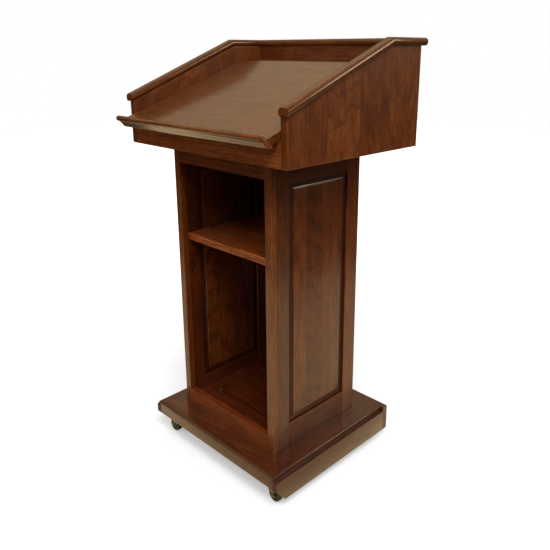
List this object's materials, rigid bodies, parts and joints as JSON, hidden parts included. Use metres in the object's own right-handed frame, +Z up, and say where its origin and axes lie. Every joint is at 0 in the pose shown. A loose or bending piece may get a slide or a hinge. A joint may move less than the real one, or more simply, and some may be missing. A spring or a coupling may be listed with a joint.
{
  "type": "lectern",
  "caption": "Wooden lectern on casters: tilting reading board with a book lip between capped side panels, on an open-fronted column with a shelf and a moulded base.",
  "frame": {"origin": "floor level under the middle of the column, which is the middle of the bounding box", "axes": "+Z up, +Y from the speaker towards the audience, +X to the speaker's right"},
  "size_m": [0.633, 0.578, 1.2],
  "materials": {
    "frame_cherry": "satin stained cherry",
    "panel_cherry": "satin stained cherry, edge-glued boards",
    "reading_cherry": "satin stained cherry with a sheen",
    "moulding_cherry": "semi-gloss stained cherry",
    "base_cherry": "semi-gloss stained cherry",
    "inner_cherry": "satin stained cherry",
    "inner_wood": "bare wood",
    "hinge_steel": "zinc plated",
    "guide_dark": "matt black",
    "screw_steel": "zinc plated",
    "caster_steel": "dark zinc plated",
    "caster_wheel": "matt black",
    "brake_plastic": "matt black"
  },
  "bodies": {
    "lectern": {"desk_side_left": "frame_cherry", "desk_side_right": "frame_cherry", "cap_left": "moulding_cherry", "cap_right": "moulding_cherry", "cap_back": "moulding_cherry", "back_board": "frame_cherry", "apron": "frame_cherry", "desk_bottom": "inner_cherry", "rear_ledge": "reading_cherry", "board_cleats": "inner_wood", "hinge_leaves_ledge": "hinge_steel", "hinge_pins": "hinge_steel", "stay_posts": "hinge_steel", "face_stile_left": "frame_cherry", "face_stile_right": "frame_cherry", "face_top_rail": "frame_cherry", "face_bottom_rail": "frame_cherry", "left_front_stile": "frame_cherry", "left_rear_stile": "frame_cherry", "left_rails": "frame_cherry", "left_panel": "panel_cherry", "right_front_stile": "frame_cherry", "right_rear_stile": "frame_cherry", "right_rails": "frame_cherry", "right_panel": "panel_cherry", "back_stiles": "frame_cherry", "back_rails": "frame_cherry", "back_panel": "panel_cherry", "column_floor": "inner_cherry", "floor_battens": "inner_wood", "shelf": "inner_cherry", "shelf_pins": "screw_steel", "base_top": "base_cherry", "skirt_left": "base_cherry", "skirt_right": "base_cherry", "skirt_front": "base_cherry", "skirt_back": "base_cherry", "corner_blocks": "inner_wood", "wood_screws": "screw_steel", "caster_plates": "caster_steel"},
    "board": {"reading_board": "reading_cherry", "book_lip": "moulding_cherry", "hinge_leaves_board": "hinge_steel", "board_screws": "screw_steel", "stay_brackets": "hinge_steel"},
    "stay_rod_left": {"stay_rod_left": "hinge_steel"},
    "stay_guide_left": {"stay_guide_left": "guide_dark"},
    "stay_rod_right": {"stay_rod_right": "hinge_steel"},
    "stay_guide_right": {"stay_guide_right": "guide_dark"},
    "swivel_front_left": {"fork_front_left": "caster_steel"},
    "wheel_front_left": {"wheel_front_left": "caster_wheel"},
    "brake_front_left": {"brake_front_left": "brake_plastic"},
    "swivel_front_right": {"fork_front_right": "caster_steel"},
    "wheel_front_right": {"wheel_front_right": "caster_wheel"},
    "brake_front_right": {"brake_front_right": "brake_plastic"},
    "swivel_rear_left": {"fork_rear_left": "caster_steel"},
    "wheel_rear_left": {"wheel_rear_left": "caster_wheel"},
    "swivel_rear_right": {"fork_rear_right": "caster_steel"},
    "wheel_rear_right": {"wheel_rear_right": "caster_wheel"}
  },
  "joints": [
    {"name": "board_tilt", "type": "hinge", "parent": "lectern", "child": "board", "pos_m": [0, 0.168, 1.1157], "axis": [-1, 0, 0], "range_deg": [0, 19.3]},
    {"name": "stay_rod_left_turn", "type": "hinge", "parent": "board", "child": "stay_rod_left", "pos_m": [-0.258, 0.03841, 1.06216], "axis": [-1, 0, 0], "range_deg": [-9.55, 0]},
    {"name": "stay_guide_left_turn", "type": "hinge", "parent": "lectern", "child": "stay_guide_left", "pos_m": [-0.258, 0.09, 0.9997], "axis": [-1, 0, 0], "range_deg": [0, 9.77]},
    {"name": "stay_rod_right_turn", "type": "hinge", "parent": "board", "child": "stay_rod_right", "pos_m": [0.258, 0.03841, 1.06216], "axis": [-1, 0, 0], "range_deg": [-9.55, 0]},
    {"name": "stay_guide_right_turn", "type": "hinge", "parent": "lectern", "child": "stay_guide_right", "pos_m": [0.258, 0.09, 0.9997], "axis": [-1, 0, 0], "range_deg": [0, 9.77]},
    {"name": "swivel_front_left_turn", "type": "hinge", "parent": "lectern", "child": "swivel_front_left", "pos_m": [-0.207, -0.192, 0.055], "axis": [0, 0, 1], "continuous": true},
    {"name": "wheel_front_left_spin", "type": "hinge", "parent": "swivel_front_left", "child": "wheel_front_left", "pos_m": [-0.228, -0.192, 0.0205], "axis": [0, 1, 0], "continuous": true},
    {"name": "brake_front_left_press", "type": "hinge", "parent": "swivel_front_left", "child": "brake_front_left", "pos_m": [-0.22, -0.192, 0.046], "axis": [0, -1, 0], "range_deg": [0, 16]},
    {"name": "swivel_front_right_turn", "type": "hinge", "parent": "lectern", "child": "swivel_front_right", "pos_m": [0.207, -0.192, 0.055], "axis": [0, 0, 1], "continuous": true},
    {"name": "wheel_front_right_spin", "type": "hinge", "parent": "swivel_front_right", "child": "wheel_front_right", "pos_m": [0.228, -0.192, 0.0205], "axis": [0, 1, 0], "continuous": true},
    {"name": "brake_front_right_press", "type": "hinge", "parent": "swivel_front_right", "child": "brake_front_right", "pos_m": [0.22, -0.192, 0.046], "axis": [0, 1, 0], "range_deg": [0, 16]},
    {"name": "swivel_rear_left_turn", "type": "hinge", "parent": "lectern", "child": "swivel_rear_left", "pos_m": [-0.207, 0.185, 0.055], "axis": [0, 0, 1], "continuous": true},
    {"name": "wheel_rear_left_spin", "type": "hinge", "parent": "swivel_rear_left", "child": "wheel_rear_left", "pos_m": [-0.228, 0.185, 0.0205], "axis": [0, 1, 0], "continuous": true},
    {"name": "swivel_rear_right_turn", "type": "hinge", "parent": "lectern", "child": "swivel_rear_right", "pos_m": [0.207, 0.185, 0.055], "axis": [0, 0, 1], "continuous": true},
    {"name": "wheel_rear_right_spin", "type": "hinge", "parent": "swivel_rear_right", "child": "wheel_rear_right", "pos_m": [0.228, 0.185, 0.0205], "axis": [0, 1, 0], "continuous": true}
  ],
  "couplings": [
    {"joint": "stay_rod_left_turn", "follows": "board_tilt", "ratio": -0.4943},
    {"joint": "stay_guide_left_turn", "follows": "board_tilt", "ratio": 0.5057},
    {"joint": "stay_rod_right_turn", "follows": "board_tilt", "ratio": -0.4943},
    {"joint": "stay_guide_right_turn", "follows": "board_tilt", "ratio": 0.5057}
  ]
}
